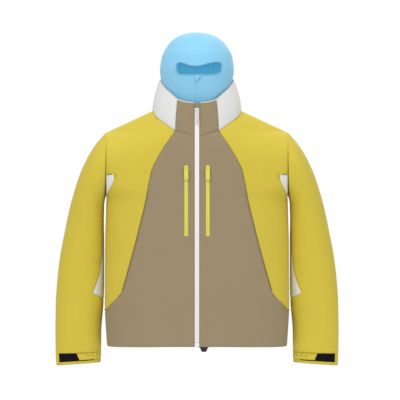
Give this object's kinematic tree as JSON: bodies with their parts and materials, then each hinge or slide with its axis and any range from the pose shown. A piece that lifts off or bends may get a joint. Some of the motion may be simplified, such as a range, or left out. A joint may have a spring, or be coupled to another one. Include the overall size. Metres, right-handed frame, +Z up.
{
  "type": "ski jacket",
  "caption": "Hooded ski jacket with colour-blocked panels, stand collar, sliding zips, swinging sleeves, cuff tabs, a hem drawcord lock and a lift-out balaclava hood.",
  "frame": {"origin": "middle of the underside of the hanger loop's top run, inside the back of the neck", "axes": "+Z up along the wearer's body, -Y out of the wearer's front, +X towards the wearer's left"},
  "size_m": [0.8256, 0.2492, 0.9686],
  "materials": {
    "taupe_cloth": "woven matt face cloth",
    "mustard_cloth": "woven matt face cloth",
    "white_cloth": "woven matt face cloth",
    "blue_stretch_cloth": "smooth stretch knit",
    "grey_lining": "light lining cloth",
    "black_pile": "hook and loop pile",
    "black_webbing": "woven cord and webbing",
    "white_zip": "moulded coil and woven tape",
    "lime_zip": "moulded coil and woven tape",
    "black_plastic": "moulded",
    "spring_steel": "bright wire"
  },
  "bodies": {
    "shell": {"front_panel_left": "taupe_cloth", "front_panel_right": "taupe_cloth", "back_panel": "taupe_cloth", "hem_facing": "taupe_cloth", "collar_front_left": "taupe_cloth", "collar_front_right": "taupe_cloth", "zip_garage": "taupe_cloth", "storm_flap": "taupe_cloth", "side_panel_left": "mustard_cloth", "side_panel_right": "mustard_cloth", "back_side_panel_left": "mustard_cloth", "back_side_panel_right": "mustard_cloth", "underarm_gusset_left": "white_cloth", "underarm_gusset_right": "white_cloth", "collar_side_left": "white_cloth", "collar_side_right": "white_cloth", "collar_back": "white_cloth", "collar_facing": "white_cloth", "hood_strap_left": "blue_stretch_cloth", "hood_strap_right": "blue_stretch_cloth", "front_lining_left": "grey_lining", "front_lining_right": "grey_lining", "back_lining": "grey_lining", "chest_pocket_bag_left": "grey_lining", "chest_pocket_bag_right": "grey_lining", "hand_pocket_bag_left": "grey_lining", "hand_pocket_bag_right": "grey_lining", "hem_drawcord": "black_webbing", "hanger_loop": "black_webbing", "main_zip_tape_left": "white_zip", "main_zip_tape_right": "white_zip", "main_zip_retainer_box": "white_zip", "pocket_zip_left": "lime_zip", "pocket_zip_right": "lime_zip", "cord_lock_body": "black_plastic", "cord_lock_spring": "spring_steel"},
    "left_sleeve": {"upper_sleeve_left": "mustard_cloth", "lower_sleeve_left": "mustard_cloth", "sleeve_gusset_left": "white_cloth", "sleeve_lining_left": "grey_lining", "cuff_loop_patch_left": "black_pile"},
    "right_sleeve": {"upper_sleeve_right": "mustard_cloth", "lower_sleeve_right": "mustard_cloth", "sleeve_gusset_right": "white_cloth", "sleeve_lining_right": "grey_lining", "cuff_loop_patch_right": "black_pile"},
    "left_cuff_tab": {"cuff_tab_left": "mustard_cloth", "cuff_hook_pad_left": "black_pile"},
    "right_cuff_tab": {"cuff_tab_right": "mustard_cloth", "cuff_hook_pad_right": "black_pile"},
    "main_slider": {"main_zip_slider": "white_zip"},
    "main_pull": {"main_zip_pull": "white_zip"},
    "left_pocket_slider": {"pocket_slider_left": "lime_zip"},
    "right_pocket_slider": {"pocket_slider_right": "lime_zip"},
    "left_pocket_pull": {"pocket_pull_left": "lime_zip"},
    "right_pocket_pull": {"pocket_pull_right": "lime_zip"},
    "lock_button": {"cord_lock_button": "black_plastic"},
    "hood": {"hood_shell": "blue_stretch_cloth", "hood_back_panel": "blue_stretch_cloth", "mask_flap": "blue_stretch_cloth"}
  },
  "joints": [
    {"name": "left_sleeve_lift", "type": "hinge", "parent": "shell", "child": "left_sleeve", "pos_m": [0.2638, -0.065, -0.193], "axis": [0, -1, 0], "range_deg": [0, 60], "deforming": ["upper_sleeve_left"]},
    {"name": "right_sleeve_lift", "type": "hinge", "parent": "shell", "child": "right_sleeve", "pos_m": [-0.2638, -0.065, -0.193], "axis": [0, 1, 0], "range_deg": [0, 60], "deforming": ["upper_sleeve_right"]},
    {"name": "left_cuff_tab_open", "type": "hinge", "parent": "left_sleeve", "child": "left_cuff_tab", "pos_m": [0.27994, -0.07434, -0.74882], "axis": [0.0208, -0.031, -0.9993], "range_deg": [0, 100]},
    {"name": "right_cuff_tab_open", "type": "hinge", "parent": "right_sleeve", "child": "right_cuff_tab", "pos_m": [-0.27994, -0.07434, -0.74882], "axis": [0.0208, 0.031, 0.9993], "range_deg": [0, 100]},
    {"name": "main_zip_slide", "type": "slide", "parent": "shell", "child": "main_slider", "axis": [0, -0.02, -0.9998], "range_m": [0, 0.655]},
    {"name": "main_pull_swing", "type": "hinge", "parent": "main_slider", "child": "main_pull", "pos_m": [0, -0.18344, -0.03485], "axis": [-1, 0, 0], "range_deg": [0, 165]},
    {"name": "left_pocket_slide", "type": "slide", "parent": "shell", "child": "left_pocket_slider", "axis": [0, -0.02, -0.9998], "range_m": [0, 0.178]},
    {"name": "right_pocket_slide", "type": "slide", "parent": "shell", "child": "right_pocket_slider", "axis": [0, -0.02, -0.9998], "range_m": [0, 0.178]},
    {"name": "left_pocket_pull_swing", "type": "hinge", "parent": "left_pocket_slider", "child": "left_pocket_pull", "pos_m": [0.031, -0.18666, -0.20482], "axis": [-1, 0, 0], "range_deg": [0, 165]},
    {"name": "right_pocket_pull_swing", "type": "hinge", "parent": "right_pocket_slider", "child": "right_pocket_pull", "pos_m": [-0.031, -0.18666, -0.20482], "axis": [-1, 0, 0], "range_deg": [0, 165]},
    {"name": "lock_button_press", "type": "slide", "parent": "shell", "child": "lock_button", "axis": [0, 0, 1], "range_m": [0, 0.003], "stiffness_N_per_m": 500, "springref_m": -0.002, "deforming": ["cord_lock_spring"]},
    {"name": "hood_lift_out", "type": "slide", "parent": "shell", "child": "hood", "axis": [0, 0, 1], "range_m": [0, 0.28]}
  ]
}
